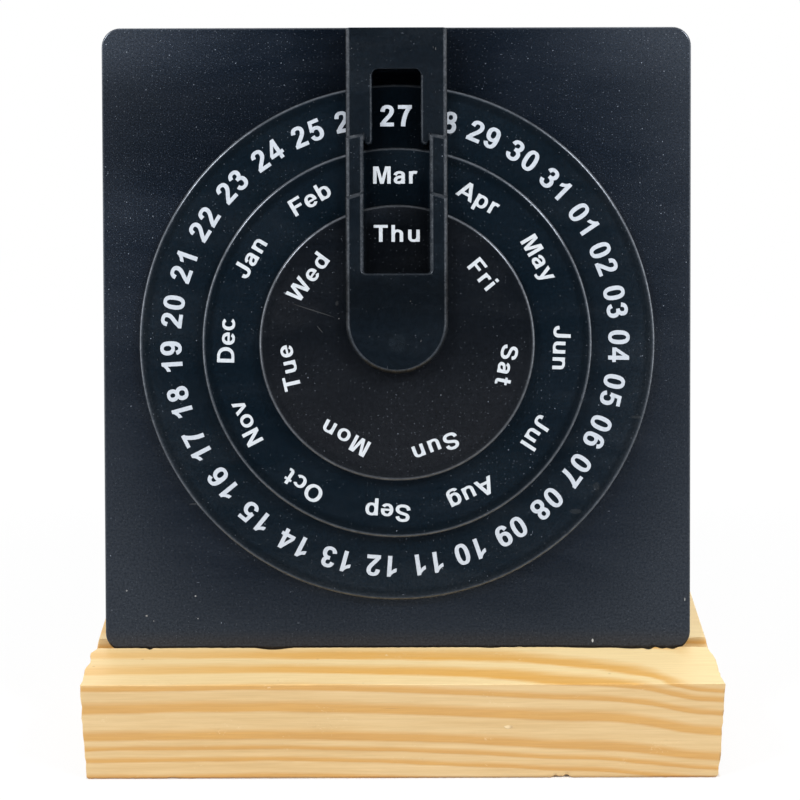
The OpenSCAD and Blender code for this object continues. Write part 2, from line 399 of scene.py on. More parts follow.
# marks of wear: x and y from the pivot, turn in degrees, half length, half width, strength
NICKS = [(41.4, -63.3, 90, 0.42, 0.22, 0.9), (61.0, -54.6, 90, 0.40, 0.14, 0.4),
         (-43.4, -34.0, 0, 0.9, 0.2, 0.05), (-43.0, -53.6, 0, 0.2, 0.18, 0.5),
         (-57.6, -52.4, 0, 0.2, 0.2, 0.35), (-53.4, -57.8, 0, 0.25, 0.2, 0.4),
         (-51.9, -58.9, 0, 0.15, 0.15, 0.25), (-42.5, -58.4, 0, 0.16, 0.16, 0.3)]
SCUFFS = [(50.4, -15.7, 0, 1.3, 0.35, 0.02), (42.0, -30.4, 90, 1.1, 0.8, 0.015),
          (37.6, -35.6, 0, 1.4, 0.6, 0.02)]
DENTS = [(8.2, 61.2, 90, 0.32, 0.10, 0.14), (7.7, 61.5, 100, 0.24, 0.08, 0.08),
         (-9.3, 61.3, 0, 0.12, 0.12, 0.14), (4.95, 0.4, 80, 0.30, 0.12, 0.09),
         (-5.7, 1.3, 0, 0.12, 0.12, 0.12), (2.8, 8.6, 0, 0.12, 0.12, 0.12)]
SCRATCHES = [(-17.4, 6.8, -18, 4.9, 0.11, 0.06), (-16.1, 2.9, -50, 0.9, 0.13, 0.05),
             (-12.5, 8.3, 80, 0.6, 0.35, 0.03), (-12.1, 5.1, 0, 0.14, 0.14, 0.25)]

# each dial's radius, and how much painted shade lies just inside its rim
RIMS = [(measures(node)[2], dark)
        for node, dark in (("day_dial", 0.45), ("month_dial", 0.5), ("weekday_dial", 0.2))]

plate_plastic = black_plastic(
    "plate_plastic", (0.0022, 0.0048, 0.0096), (0.0052, 0.0086, 0.0150), 0.20, 4e-6, 0.00042,
    1.0, 0.08, polish=FLAT, shade_and_mirror=on_plate, cad_node=True, foot=-0.0642, marks=NICKS,
)
arm_plastic = black_plastic(
    "arm_plastic", (0.0027, 0.0052, 0.0084), (0.0066, 0.0102, 0.0145), 0.23, 5e-6, 0.0011,
    0.25, 0.03, polish=0.22, shade_and_mirror=on_arm, cad_node=True, extra=sink_mark, marks=DENTS,
)
dial_plastic = black_plastic(
    "dial_plastic", (0.0015, 0.0048, 0.0086), (0.0040, 0.0078, 0.0125), 0.20, 4e-6, 0.0007,
    0.35, 0.45, polish=1.0, rims=RIMS, marks=SCUFFS,
)
weekday_plastic = black_plastic(
    "weekday_plastic", (0.0020, 0.0033, 0.0053), (0.0072, 0.0082, 0.0103), 0.22, 4e-6, 0.0007,
    0.5, 0.45, polish=1.0, extra=hazier_below, rims=RIMS, marks=SCRATCHES,
)


def printed_ink():
    """Screen-printed white. The day numerals, the outer ring, are printed thinner."""
    s = Shader("white_print")
    where = s.coords()
    thin = s.noise(where, 0.0007, 3, 0.6)
    worn = s.noise(where, 0.006, 3, 0.55)
    sparse = s.span(thin, 0.35, 0.75) * s.span(worn, 0.3, 0.8, 0.25, 1)
    ink = s.mix(sparse, (0.625, 0.665, 0.71), (0.47, 0.515, 0.565))
    outer = s.span(s.length(s.stretch(where, (1, 1, 0))), 0.0385, 0.0425)
    s.set(
        Base_Color=s.tint(ink, (0.885, 0.90, 0.935), outer),
        Roughness=s.span(worn, 0.2, 0.8, 0.42, 0.56),
        Normal=s.bump(thin, 8e-6),
    )
    return s.material


def zinc():
    s = Shader("zinc_steel")
    where = s.coords()
    spangle = s.noise(where, 0.0009, 3, 0.6)
    fine = s.noise(where, 0.00022, 2, 0.6)
    s.set(
        Base_Color=s.mix(s.span(spangle, 0.3, 0.7), (0.60, 0.61, 0.63), (0.74, 0.75, 0.76)),
        Metallic=1.0,
        Roughness=s.span(spangle, 0.2, 0.8, 0.24, 0.40),
        Normal=s.bump(fine + spangle, 6e-6),
    )
    return s.material


# Growth rings of the block, as heights up its front face at the left end: where the dark late
# wood starts to show and where it ends. Below 0 and above 22 they show on the other faces.
RINGS = [
    (0.0, 0.8), (3.9, 4.8), (6.7, 7.6), (9.1, 11.4), (15.5, 18.0), (20.5, 21.8), (23.9, 25.2),
    (26.3, 27.2), (29.0, 29.8), (31.5, 33.0), (34.8, 36.0), (38.0, 38.8),
]
PITH = (8.4, 94.5)         # the log's centre, in Y and Z, in mm
FOOT_RADIUS = 100.2        # from the pith to the foot of the front face
RADIUS_PER_HEIGHT = 0.927  # how much nearer the pith a mm further up is


def ring_sink(s, x, y, z, where):
    """How far the rings sink, in metres: towards the right, and on the top less towards the back."""
    u = x / 0.0655
    sink = ((u * 0.739 + 2.725) * u + 2.253) * u + 0.3
    sink = sink + s.span(x, 0.028, 0.044, 0.0, -0.7) + s.span(x, 0.058, 0.069, 0.0, -0.4)
    sink = sink + (z * 92.0 - 0.35) * s.span(x, 0.047, 0.061)
    wave = s.noise(s.stretch(where, (0.22, 0.8, 0.8)), 0.009, 2, 0.5)
    sink = sink + (wave - 0.5) * 1.3
    depth = s.span(y, -0.025, -0.011, smooth=False)
    lower = s.span(x, 0.020, 0.050, 0.0, 0.85) * s.span(depth, 0.0, 0.35)
    ragged = s.noise(s.stretch(where, (0.12, 1, 1)), 0.0011, 3, 0.6)
    return (sink * (1.0 - depth ** 0.7 * 0.85) + lower) * MM + (ragged - 0.5) * 0.00055


def late_wood(s, level, rings):
    """1 in the dark late wood of some rings, at a level in mm, and 0 in the early wood."""
    low, high = rings[0][0] - 1, rings[-1][1] + 1
    stops = [(0, 0.0)]
    for start, end in rings:
        wide = end - start
        for place, dark in ((start - 0.22, 0.0), (start + 0.12 * wide, 0.92),
                            (end - 0.3 * wide, 0.85), (end + 0.45, 0.0)):
            stops.append(((place - low) / (high - low), dark))
    return s.ramp((level - low) / (high - low), stops)


def pine():
    """Planed softwood: rings round a pith that lies above the block, along X, with fibres."""
    s = Shader("pine")
    where = s.coords()
    x, y, z = s.split(where)
    sink = ring_sink(s, x, y, z, where)
    radius = s.length(s.join(0.0, y - PITH[0] * MM, z - PITH[1] * MM + sink))
    level = (FOOT_RADIUS * MM - radius) / (RADIUS_PER_HEIGHT * MM)
    # a colour ramp holds too few stops for all the rings
    late = s.most(*[late_wood(s, level, RINGS[i:i + 6]) for i in range(0, len(RINGS), 6)])
    fibre = s.noise(s.stretch(where, (0.035, 1, 1)), 0.00035, 4, 0.65)
    streak = s.noise(s.stretch(where, (0.05, 1, 1)), 0.0017, 4, 0.6, 0.3)
    broad = s.noise(s.stretch(where, (0.25, 1, 1)), 0.014, 3, 0.5)
    early = s.mix(s.span(streak, 0.25, 0.75), (0.69, 0.468, 0.212), (0.76, 0.55, 0.28))
    early = s.mix(s.span(broad, 0.3, 0.75, 0, 0.5), early, (0.775, 0.565, 0.295))
    # the top is paler, partly a painted sheen that grows towards the right, with stronger rings that fade
    # at both ends
    aside, _, upright = s.split(s.geometry("True Normal"))
    on_top = upright > 0.7
    early = s.mix(on_top * s.span(x, -0.045, 0.045, 0.60, 0.95), early, (0.905, 0.705, 0.375))
    dark = s.mix(s.span(streak, 0.25, 0.8), (0.625, 0.315, 0.068), (0.685, 0.38, 0.10))
    dark = s.mix(on_top * 0.8, dark, (0.79, 0.41, 0.075))
    faded = s.most(s.span(x, 0.051, 0.062, 0, 0.85), s.span(x, -0.010, -0.060, 0, 0.40))
    strength = late * s.span(streak, 0.1, 0.85, 0.78, 1.06) * (1.0 - faded * on_top)
    colour = s.mix(strength, early, dark)
    colour = s.tint(colour, (0.86, 0.83, 0.78), s.span(fibre, 0.3, 0.72, 0, 0.55))
    # short dark resin canals, and small pits
    distance, (pick, _, _) = s.cells(s.stretch(where, (0.045, 1, 1)), 0.0021)
    canal = s.span(distance, 0.055, 0.03) * (pick > 0.72)
    colour = s.mix(canal * 0.30, colour, (0.36, 0.19, 0.06))
    distance, (_, pick, _) = s.cells(s.stretch(where, (0.8, 1, 1)), 0.0034)
    pit = s.span(distance, 0.10, 0.05) * (pick > 0.80)
    colour = s.mix(pit * 0.30, colour, (0.36, 0.22, 0.10))
    # patches where the plane has raised pale hairs, with hollows between them
    hairs = s.noise(s.stretch(where, (0.55, 1, 1)), 0.0008, 3, 0.75, 1.5)
    ruffled = s.span(s.noise(s.stretch(where, (0.5, 1, 1)), 0.0052, 3, 0.6), 0.56, 0.68)
    colour = s.mix(s.span(hairs, 0.60, 0.68) * ruffled * 0.45, colour, (0.88, 0.72, 0.46))
    colour = s.mix(s.span(hairs, 0.40, 0.32) * ruffled * 0.30, colour, (0.50, 0.32, 0.15))
    # a small torn spot in the front face
    spot = ((x - 0.0216) * 900) ** 2 + ((z - 0.0121) * 2100) ** 2 + (fibre - 0.5) * 1.2
    torn = s.span(spot, 1.0, 0.45) * (y < -0.0245)
    colour = s.mix(torn * 0.6, colour, (0.90, 0.74, 0.47))
    colour = s.mix(torn * s.span(x, 0.0215, 0.0224) * 0.8, colour, (0.50, 0.30, 0.12))
    # painted shade in the small nicks of the ragged right end, darkest in the late wood
    nick_shade = s.span(x, 0.0651, 0.0655) * s.span(late, 0.2, 0.7, 0.1, 0.65)
    colour = s.mix(nick_shade, colour, (0.34, 0.21, 0.09))
    # a painted contact shadow darkens the lowest edge, and the sawn ends are a little darker
    painted_contact_shadow = s.span(z, 0.00075, 0.0002) * s.span(streak, 0.2, 0.6, 0.4, 0.9)
    colour = s.tint(colour, (0.52, 0.42, 0.33), painted_contact_shadow)
    colour = s.tint(colour, (0.86, 0.78, 0.66), (abs(aside) > 0.7) * 0.75)
    relief = fibre * 0.5 + late * 0.7 - canal * 0.6 + torn * 1.5
    s.set(
        Base_Color=colour,
        Roughness=s.span(late, 0, 1, 0.52, 0.42),
        Specular_IOR_Level=0.45,
        Normal=s.bump(relief, 0.00005),
    )
    return s.material


white_print, zinc_steel, pine_wood = printed_ink(), zinc(), pine()

# --- Mesh helpers ---


def add(name, data):
    made = bpy.data.objects.new(name, data)
    bpy.context.scene.collection.objects.link(made)
    return made


def mesh_object(name, vertices, faces, material, world=None, unit=MM):
    mesh = bpy.data.meshes.new(name)
    mesh.from_pydata([Vector(v) * unit for v in vertices], [], faces)
    bm = bmesh.new()
    bm.from_mesh(mesh)
    bmesh.ops.recalc_face_normals(bm, faces=bm.faces)
    bm.to_mesh(mesh)
    bm.free()
    mesh.shade_smooth()
    mesh.materials.append(material)
    made = add(name, mesh)
    if world is not None:
        made.matrix_world = world
    return made


def modify(obj, name, kind, **settings):
    made = obj.modifiers.new(name, kind)
    for key, value in settings.items():
        setattr(made, key, value)


def weighted(obj):
    """Flat faces keep flat shading next to their small rounded edges."""
    modify(obj, "weighted", "WEIGHTED_NORMAL", weight=100, keep_sharp=True)


def soften(node, width, material, segments=3):
    """A CAD node keeps its shape and gets small rounded edges, width mm wide, and a material."""
    obj = frame["nodes"][node]
    obj.data.materials.clear()
    obj.data.materials.append(material)
    obj.data.shade_smooth()
    modify(obj, "weld", "WELD", merge_threshold=2e-6)
    modify(obj, "flat", "DECIMATE", decimate_type="DISSOLVE", angle_limit=math.radians(0.6))
    modify(
        obj, "bevel", "BEVEL", limit_method="ANGLE", angle_limit=math.radians(30), width=width * MM,
        segments=segments, use_clamp_overlap=False, miter_outer="MITER_ARC", harden_normals=False,
    )
    weighted(obj)


# --- Dials ---


def rounding(cx, cy, radius, start, end, steps):
    """Points on an arc between two angles in degrees."""
    return [
        (cx + radius * math.cos(a), cy + radius * math.sin(a))
        for a in (math.radians(start + (end - start) * k / steps) for k in range(steps + 1))
    ]


def dial(name, node, body, material, steps=288):
    """A dial over its CAD node, with a rounded rim. Points beside the arcs keep its faces flat."""
    low, high, r, bore = measures(node)
    front, rear = 0.70, 0.12
    profile = [(bore, low), (bore + 0.1, low), (r - rear - 1, low)]
    profile += rounding(r - rear, low + rear, rear, -90, 0, 3)
    profile += rounding(r - front, high - front, front, 0, 90, 6)
    profile += [(r - front - 0.8, high), (bore + 0.1, high), (bore, high)]
    count = len(profile)
    vertices, faces = [], []
    for k in range(steps):
        a, here, there = 2 * math.pi * k / steps, k * count, (k + 1) % steps * count
        vertices += [(r * math.cos(a), r * math.sin(a), h) for r, h in profile]
        for i in range(count):
            j = (i + 1) % count
            faces.append((here + i, here + j, there + j, there + i))
    made = mesh_object(name, vertices, faces, material, PLATE)
    weighted(made)
    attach(made, body)
    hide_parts(node)
    return high


day_face = dial("day_disc", "day_dial", "day_wheel", dial_plastic)
month_face = dial("month_disc", "month_dial", "month_wheel", dial_plastic)
weekday_face = dial("weekday_disc", "weekday_dial", "weekday_wheel", weekday_plastic)

# --- Lettering: a plain bold grotesque drawn from strokes, with a cap height of 1 ---

THICK, THIN = 0.205, 0.165    # width of upright and of level strokes


def bar(x0, y0, x1, y1):
    return [(x0, y0), (x1, y0), (x1, y1), (x0, y1)]


def curve(start, *pieces, steps=7):
    """Points along cubic pieces (control, control, end) or straight pieces (end,)."""
    points = [start]
    for piece in pieces:
        if len(piece) == 1:
            points.append(piece[0])
            continue
        a, (b, c, d) = points[-1], piece
        for k in range(1, steps + 1):
            t = k / steps
            f = ((1 - t) ** 3, 3 * t * (1 - t) ** 2, 3 * t * t * (1 - t), t**3)
            points.append(tuple(f[0] * a[i] + f[1] * b[i] + f[2] * c[i] + f[3] * d[i] for i in (0, 1)))
    return points


def stroke(points, thick=THICK, thin=THIN):
    """Outline of a pen stroke along points: thick where it runs upright, thin where level."""
    left, right = [], []
    for i, (x, y) in enumerate(points):
        before, after = points[max(i - 1, 0)], points[min(i + 1, len(points) - 1)]
        dx, dy = after[0] - before[0], after[1] - before[1]
        length = math.hypot(dx, dy)
        dx, dy = dx / length, dy / length
        half = math.hypot(thick * dy, thin * dx) / 2
        left.append((x - dy * half, y + dx * half))
        right.append((x + dy * half, y - dx * half))
    return right + left[::-1]


def pen(*path, **widths):
    return stroke(curve(*path), **widths)


def ring(cx, cy, rx, ry, start=0, end=360, thick=THICK, thin=THIN, power=2.25):
    """Band of a superellipse with outer radii rx and ry, between two angles, in one or two parts."""

    def at(angle, a, b):
        c, s = math.cos(angle), math.sin(angle)
        return (
            cx + a * math.copysign(abs(c) ** (2 / power), c),
            cy + b * math.copysign(abs(s) ** (2 / power), s),
        )

    parts = []
    cuts = [start, (start + end) / 2, end] if end - start > 200 else [start, end]
    for low, high in zip(cuts, cuts[1:]):
        steps = max(4, round((high - low) / 11))
        angles = [math.radians(low + (high - low) * k / steps) for k in range(steps + 1)]
        parts.append(
            [at(a, rx, ry) for a in angles] + [at(a, rx - thick, ry - thin) for a in angles[::-1]]
        )
    return parts


def flip(parts, width, height):
    return [[(width - x, height - y) for x, y in part] for part in parts]


def mirror(parts, width):
    return [[(width - x, y) for x, y in part] for part in parts]


LOW = {"thick": 0.195, "thin": 0.15}      # stroke widths of small letters
SIX = ring(0.4, 0.335, 0.33, 0.347) + [
    pen((0.63, 0.735), ((0.6, 0.87), (0.53, 0.928), (0.42, 0.928)),
        ((0.23, 0.928), (0.168, 0.73), (0.168, 0.42)), ((0.168, 0.33),))
]
BOWL_B = ring(0.448, 0.3575, 0.345, 0.375, **LOW)
ARCH = pen((0.192, 0.38), ((0.2, 0.56), (0.29, 0.652), (0.43, 0.652)),
           ((0.585, 0.652), (0.657, 0.575), (0.657, 0.44)), ((0.657, 0.0),), **LOW)
GLYPHS = {
    "0": (0.777, ring(0.388, 0.5, 0.332, 0.512, power=2.4)),
    "1": (0.777, [[(0.36, 0), (0.56, 0), (0.56, 1), (0.4, 1), (0.345, 0.9), (0.25, 0.81),
                   (0.115, 0.745), (0.115, 0.57), (0.25, 0.625), (0.36, 0.71)]]),
    "2": (0.777, [
        bar(0.055, 0, 0.705, 0.178),
        pen((0.165, 0.69), ((0.18, 0.86), (0.26, 0.925), (0.385, 0.925)),
            ((0.53, 0.925), (0.603, 0.85), (0.603, 0.735)),
            ((0.603, 0.6), (0.5, 0.5), (0.39, 0.39)),
            ((0.28, 0.28), (0.2, 0.2), (0.165, 0.088)))
    ]),
    "3": (0.777, [
        pen((0.15, 0.72), ((0.17, 0.86), (0.25, 0.925), (0.37, 0.925)),
            ((0.5, 0.925), (0.575, 0.855), (0.575, 0.745)),
            ((0.575, 0.62), (0.49, 0.545), (0.31, 0.542))),
        pen((0.31, 0.542), ((0.52, 0.542), (0.608, 0.45), (0.608, 0.315)),
            ((0.608, 0.16), (0.51, 0.075), (0.375, 0.075)),
            ((0.24, 0.075), (0.16, 0.15), (0.14, 0.285)))
    ]),
    "4": (0.777, [
        bar(0.42, 0, 0.612, 1), bar(0.03, 0.2, 0.725, 0.37),
        [(0.03, 0.28), (0.15, 0.28), (0.205, 0.365), (0.52, 0.856), (0.52, 1),
         (0.44, 1), (0.03, 0.37)]
    ]),
    "5": (0.777, [
        bar(0.17, 0.825, 0.665, 1),
        [(0.085, 0.455), (0.25, 0.49), (0.275, 0.56), (0.33, 0.95), (0.165, 1)],
        pen((0.16, 0.47), ((0.215, 0.565), (0.285, 0.6), (0.37, 0.6)),
            ((0.52, 0.6), (0.612, 0.49), (0.612, 0.335)),
            ((0.612, 0.17), (0.51, 0.075), (0.365, 0.075)),
            ((0.24, 0.075), (0.155, 0.145), (0.138, 0.275)))
    ]),
    "6": (0.777, SIX),
    "7": (0.777, [bar(0.055, 0.825, 0.71, 1),
                  pen((0.63, 0.93), ((0.44, 0.72), (0.305, 0.36), (0.292, 0)))]),
    "8": (0.777, ring(0.388, 0.742, 0.292, 0.27, thick=0.19, thin=0.152)
          + ring(0.388, 0.287, 0.335, 0.3, thick=0.2, thin=0.158)),
    "9": (0.777, flip(SIX, 0.777, 1)),
    "A": (1.008, [[(0, 0), (0.215, 0), (0.612, 1), (0.397, 1)],
                  [(0.793, 0), (1.008, 0), (0.611, 1), (0.396, 1)], bar(0.2, 0.22, 0.8, 0.385)]),
    "D": (1.008, [
        bar(0.1, 0, 0.305, 1),
        pen((0.2, 0.9175), ((0.42, 0.9175),),
            ((0.7, 0.9175), (0.845, 0.75), (0.845, 0.5)),
            ((0.845, 0.25), (0.7, 0.0825), (0.42, 0.0825)), ((0.2, 0.0825),))
    ]),
    "F": (0.853, [bar(0.103, 0, 0.308, 1), bar(0.2, 0.832, 0.8, 1), bar(0.2, 0.41, 0.725, 0.577)]),
    "J": (0.777, [
        pen((0.575, 1), ((0.575, 0.33),),
            ((0.575, 0.15), (0.505, 0.07), (0.355, 0.07)),
            ((0.22, 0.07), (0.14, 0.14), (0.135, 0.33)))
    ]),
    "M": (1.163, [
        [(0.1, 0), (0.1, 1), (0.402, 1), (0.5825, 0.318), (0.763, 1), (1.065, 1),
         (1.065, 0), (0.875, 0), (0.875, 0.787), (0.68, 0), (0.485, 0), (0.29, 0.787),
         (0.29, 0)]
    ]),
    "N": (1.008, [[(0.102, 0), (0.102, 1), (0.3, 1), (0.71, 0.335), (0.71, 1), (0.902, 1),
                   (0.902, 0), (0.7, 0), (0.294, 0.652), (0.294, 0)]]),
    "O": (1.087, ring(0.5435, 0.5, 0.487, 0.513, thick=0.212, thin=0.17, power=2.15)),
    "S": (0.932, [
        pen((0.75, 0.7), ((0.725, 0.86), (0.62, 0.926), (0.46, 0.926)),
            ((0.28, 0.926), (0.18, 0.85), (0.18, 0.73)),
            ((0.18, 0.6), (0.28, 0.565), (0.465, 0.52)),
            ((0.67, 0.47), (0.768, 0.405), (0.768, 0.28)),
            ((0.768, 0.14), (0.65, 0.074), (0.47, 0.074)),
            ((0.27, 0.074), (0.165, 0.15), (0.14, 0.315)))
    ]),
    "T": (0.853, [bar(0.03, 0.832, 0.823, 1), bar(0.324, 0, 0.529, 0.9)]),
    "W": (1.318, [
        [(0.005, 1), (0.213, 1), (0.345, 0.31), (0.537, 1), (0.781, 1), (0.973, 0.31),
         (1.105, 1), (1.313, 1), (1.073, 0), (0.853, 0), (0.659, 0.74), (0.465, 0),
         (0.245, 0)]
    ]),
    "a": (0.777, [
        pen((0.125, 0.49), ((0.16, 0.6), (0.24, 0.652), (0.36, 0.652)),
            ((0.51, 0.652), (0.567, 0.6), (0.567, 0.48)), ((0.567, 0),), **LOW),
        pen((0.567, 0.405), ((0.36, 0.385), (0.145, 0.38), (0.145, 0.205)),
            ((0.145, 0.115), (0.21, 0.063), (0.305, 0.063)),
            ((0.43, 0.063), (0.54, 0.12), (0.56, 0.25)), **LOW)
    ]),
    "b": (0.853, [bar(0.093, 0, 0.288, 1), *BOWL_B]),
    "c": (0.777, ring(0.4, 0.3575, 0.348, 0.375, 36, 324, **LOW)),
    "d": (0.853, mirror([bar(0.093, 0, 0.288, 1), *BOWL_B], 0.853)),
    "e": (0.777, ring(0.39, 0.3575, 0.342, 0.375, 0, 326, **LOW)
          + [bar(0.12, 0.288, 0.731, 0.412)]),
    "g": (0.853, [
        *mirror(BOWL_B, 0.853),
        pen((0.662, 0.715), ((0.662, 0.02),),
            ((0.662, -0.14), (0.57, -0.205), (0.4, -0.205)),
            ((0.26, -0.205), (0.175, -0.16), (0.165, -0.07)), **LOW)
    ]),
    "h": (0.853, [bar(0.095, 0, 0.29, 1), ARCH]),
    "i": (0.388, [bar(0.097, 0, 0.292, 0.715), bar(0.097, 0.825, 0.292, 1)]),
    "l": (0.388, [bar(0.097, 0, 0.292, 1)]),
    "n": (0.853, [bar(0.095, 0, 0.29, 0.715), ARCH]),
    "o": (0.853, ring(0.4265, 0.3575, 0.372, 0.375, power=2.15, **LOW)),
    "p": (0.853, [bar(0.093, -0.277, 0.288, 0.715), *BOWL_B]),
    "r": (0.543, [
        bar(0.093, 0, 0.288, 0.715),
        pen((0.19, 0.36), ((0.2, 0.56), (0.27, 0.66), (0.4, 0.65)),
            ((0.45, 0.647), (0.49, 0.64), (0.53, 0.62)), thick=0.185, thin=0.17)
    ]),
    "t": (0.465, [
        pen((0.213, 0.93), ((0.213, 0.24),),
            ((0.213, 0.1), (0.26, 0.07), (0.34, 0.07)),
            ((0.38, 0.07), (0.41, 0.075), (0.445, 0.085)), thick=0.19, thin=0.15),
        bar(0.02, 0.575, 0.44, 0.715)
    ]),
    "u": (0.853, flip([bar(0.095, 0, 0.29, 0.715), ARCH], 0.853, 0.715)),
    "v": (0.777, [[(0.008, 0.715), (0.215, 0.715), (0.388, 0.22), (0.562, 0.715), (0.769, 0.715),
                   (0.485, 0), (0.292, 0)]]),
    "y": (0.777, [
        [(0.008, 0.715), (0.215, 0.715), (0.396, 0.205), (0.562, 0.715),
         (0.769, 0.715), (0.495, -0.03), (0.44, -0.15), (0.36, -0.24), (0.22, -0.282),
         (0.085, -0.265), (0.072, -0.11), (0.17, -0.125), (0.25, -0.095),
         (0.292, -0.01)]
    ]),
}


def area(part):
    return sum(a[0] * b[1] - b[0] * a[1] for a, b in zip(part, part[1:] + part[:1])) / 2


def merged(parts):
    """The union of outlines as points and triangles."""
    points, faces = [], []
    for part in parts:
        part = part if area(part) > 0 else part[::-1]
        faces.append(list(range(len(points), len(points) + len(part))))
        points += part
    flat, _, triangles, _, _, sources = delaunay_2d_cdt(
        [Vector(p) for p in points], [], faces, 1, 1e-5, True
    )
    return [tuple(p) for p in flat], [t for t, source in zip(triangles, sources) if source]


MERGED = {letter: merged(parts) for letter, (_, parts) in GLYPHS.items()}


def between(table, place):
    """The values that belong at place, from the rows (place, *values) of a table."""
    for (start, *low), (end, *high) in zip(table, table[1:]):
        if start <= place <= end:
            share = (place - start) / (end - start)
            return [a + (b - a) * share for a, b in zip(low, high)]


def lettering(name, labels, radius, height, stretch, tracking, aside, face, body, strays):
    """Labels round a dial, tops outwards and the first one on top, as thin closed solids of ink.

    radius is that of the letters' middle, height their cap height, stretch their relative width,
    tracking the space between them and aside how far all labels lie to the right, in mm.
    """
    sunk, proud = face - 0.02, face + 0.035
    across = height * stretch
    vertices, faces = [], []
    for number, label in enumerate(labels):
        place = 360 * number / len(labels)
        lift, slip = between(strays, place)
        turn = math.radians(place + slip)
        starts, x = [], 0.0
        for letter in label:
            starts.append(x)
            x += GLYPHS[letter][0] * across + tracking
        left = min(p[0] for p in MERGED[label[0]][0]) * across
        right = starts[-1] + max(p[0] for p in MERGED[label[-1]][0]) * across
        for letter, start in zip(label, starts):
            points, triangles = MERGED[letter]
            first = len(vertices)
            used = sorted({i for t in triangles for i in t})
            index = {old: new for new, old in enumerate(used)}
            for level in (sunk, proud):
                for i in used:
                    px = aside + start - (left + right) / 2 + points[i][0] * across
                    py = radius + lift + (points[i][1] - 0.5) * height
                    vertices.append((px * math.cos(turn) + py * math.sin(turn),
                                     py * math.cos(turn) - px * math.sin(turn), level))
            count = len(used)
            edges = []
            for t in triangles:
                a, b, c = (index[i] for i in t)
                faces.append((first + count + a, first + count + b, first + count + c))
                faces.append((first + c, first + b, first + a))
                edges += [(a, b), (b, c), (c, a)]
            for a, b in edges:
                if (b, a) not in edges:
                    faces.append((first + a, first + b, first + count + b, first + count + a))
    made = mesh_object(name, vertices, faces, white_print, PLATE)
    made.data.shade_flat()
    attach(made, body)


DAYS = [f"{(26 + i) % 31 + 1:02d}" for i in range(31)]
MONTHS = "Mar Apr May Jun Jul Aug Sep Oct Nov Dec Jan Feb".split()
WEEKDAYS = "Thu Fri Sat Sun Mon Tue Wed".split()
# where the print strays from an even ring: place on the dial in degrees, mm out, degrees clockwise
DAY_STRAYS = [(0, 0.1, -0.2), (23, -0.2, -0.45), (35, -0.2, -0.9), (46, -0.4, -1.8), (93, -0.9, -2.05),
              (116, -1.4, -2.25), (139, -1.25, -2.3), (163, -0.95, -1.85), (174, -0.6, -2.5),
              (186, -0.45, -1.8), (209, -0.05, -1.6), (232, -0.45, -1.05), (267, 0, -0.4),
              (290, 0.1, -0.75), (302, 0.05, -0.25), (325, 0.3, 0.3), (360, 0.1, -0.2)]
MONTH_STRAYS = [(0, 0, -0.1), (60, -0.4, -0.2), (90, -0.6, 2.1), (120, -0.3, 3.1), (150, 0.15, 4.0),
                (180, 0.5, 3.6), (210, 0.85, 3.7), (240, 0.9, 2.7), (270, 0.75, 1.3), (300, 0.55, 0.6),
                (330, 0.2, -0.6), (360, 0, -0.1)]
WEEKDAY_STRAYS = [(0, 0, 0), (51.5, 0.15, 0), (103, 0.55, -1.3), (154.5, 0.35, 5.3), (206, -0.2, 3.0),
                  (257.5, 0.5, 0), (309, 0.3, -2.2), (360, 0, 0)]
lettering("day_numerals", DAYS, 47.6, 4.43, 1.0, 0.31, 0.07, day_face, "day_wheel", DAY_STRAYS)
lettering("month_names", MONTHS, 35.1, 3.6, 1.055, 0.08, -0.2, month_face, "month_wheel", MONTH_STRAYS)
lettering(
    "weekday_names", WEEKDAYS, 22.8, 3.5, 1.055, 0.3, 0.0, weekday_face, "weekday_wheel", WEEKDAY_STRAYS
)

# --- Wooden block ---

block_low, block_high = (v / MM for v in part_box("wooden_base"))
GROOVE_W, GLUE, INSERT, PLATE_T = 4.0, 0.05, 1.3, 3.0     # as in the CAD


def slope(up, out):
    """A point of the plate's frame, measured up from the block's top, as (Y, Z) in mm."""
    base = (block_high.z * MM - pivot.z) / up_plate.z
    p = pivot + up_plate * (base + up * MM) + out_of_plate * (out * MM)
    return p.y / MM, p.z / MM


tan_lean = math.tan(LEAN)
front_wall, rear_wall, floor_up = GROOVE_W - PLATE_T - GLUE, -PLATE_T - GLUE, -INSERT - GLUE
# corners round the block's section, each with the radius of its rounding and how ragged it is
SECTION = [
    ((block_low.y, block_low.z), 0.35, 0.5),
    ((block_high.y, block_low.z), 0.35, 0.5),
    ((block_high.y, block_high.z), 0.3, 0.4),
    (slope(-rear_wall * tan_lean, rear_wall), 0.14, 0.9),
    (slope(floor_up, rear_wall), 0.05, 0.0),
    (slope(floor_up, front_wall), 0.05, 0.0),
    (slope(-front_wall * tan_lean, front_wall), 0.13, 1.0),
    ((block_low.y, block_high.z), 0.24, 0.5),
]
# how far the sawn ends stand out along the block's top, as Y, left and right, in mm
ENDS = [(-25.1, 0.0, -0.05), (-24.2, -0.09, -0.25), (-22.3, -0.25, -0.55), (-20.4, -0.05, -0.5),
        (-19.0, -0.03, -0.65), (-17.8, 0.13, -0.44), (-16.6, 0.04, -0.54), (-15.3, -0.51, -0.45),
        (-14.1, -0.48, -0.33), (-12.8, -0.15, -0.47), (-11.5, 0.2, -0.8), (-10.3, 0.0, -1.06),
        (-9.2, -0.93, -1.16), (-4.7, -0.4, -0.85), (-3.6, -0.1, -0.5), (1.0, -0.1, -0.4), (25.1, 0.0, -0.2)]
